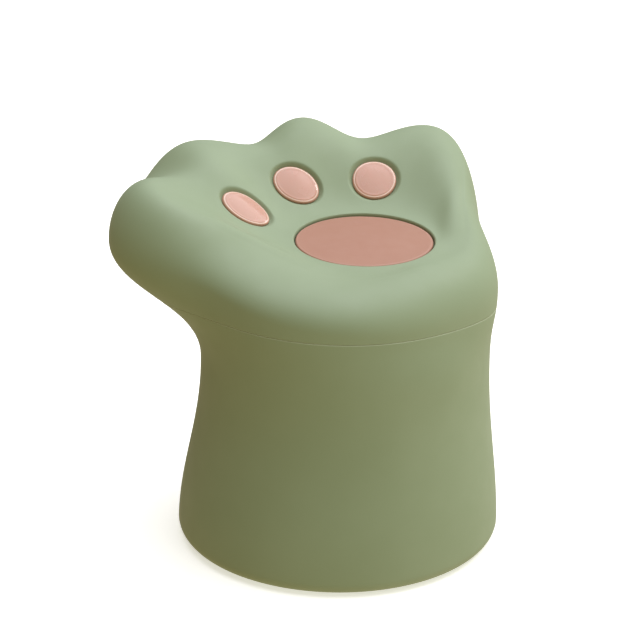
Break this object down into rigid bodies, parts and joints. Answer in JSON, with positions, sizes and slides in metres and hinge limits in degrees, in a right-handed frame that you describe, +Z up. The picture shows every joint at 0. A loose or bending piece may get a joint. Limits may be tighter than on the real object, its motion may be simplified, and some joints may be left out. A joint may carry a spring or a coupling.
{
  "type": "paw washer cup",
  "caption": "Hand-held cup for rinsing a pet's paw: a tapered casing with a lift-out water cup and bristle sleeve, closed by a paw-shaped lid with glossy pads.",
  "frame": {"origin": "on the axis of the mouth, at the face of the anti-slip pad that the cup stands on", "axes": "+Z up along the axis of the mouth; the toes reach towards -X and +Y, and the heel of the paw is towards +X and -Y"},
  "size_m": [0.1228, 0.1073, 0.1243],
  "materials": {
    "sage_shell": "soft matte moulding",
    "pink_pad": "glossy, lightly domed",
    "rose_pad": "satin, lightly domed",
    "white_moulding": "satin",
    "clear_cup": "smooth, milky",
    "pink_silicone": "soft matte",
    "grey_silicone": "soft matte",
    "screw_steel": "bright zinc"
  },
  "bodies": {
    "root": {"anti_slip_pad": "grey_silicone", "base_plate": "white_moulding", "casing": "sage_shell", "cup_gasket": "grey_silicone"},
    "cup": {"water_cup": "clear_cup"},
    "brush": {"bristle_sleeve": "pink_silicone", "mouth_ring": "white_moulding", "splash_guard": "pink_silicone", "guard_keeper": "white_moulding"},
    "lid": {"lid_shell": "sage_shell", "lid_liner": "white_moulding", "lid_seal": "grey_silicone", "liner_screws": "screw_steel", "main_pad": "rose_pad", "toe_pad_left": "pink_pad", "toe_pad_middle": "pink_pad", "toe_pad_right": "pink_pad"}
  },
  "joints": [
    {"name": "cup_lift", "type": "slide", "parent": "root", "child": "cup", "axis": [0, 0, 1], "range_m": [0, 0.08]},
    {"name": "brush_lift", "type": "slide", "parent": "cup", "child": "brush", "axis": [0, 0, 1], "range_m": [0, 0.065]},
    {"name": "lid_lift", "type": "slide", "parent": "brush", "child": "lid", "axis": [0, 0, 1], "range_m": [0, 0.03]}
  ]
}
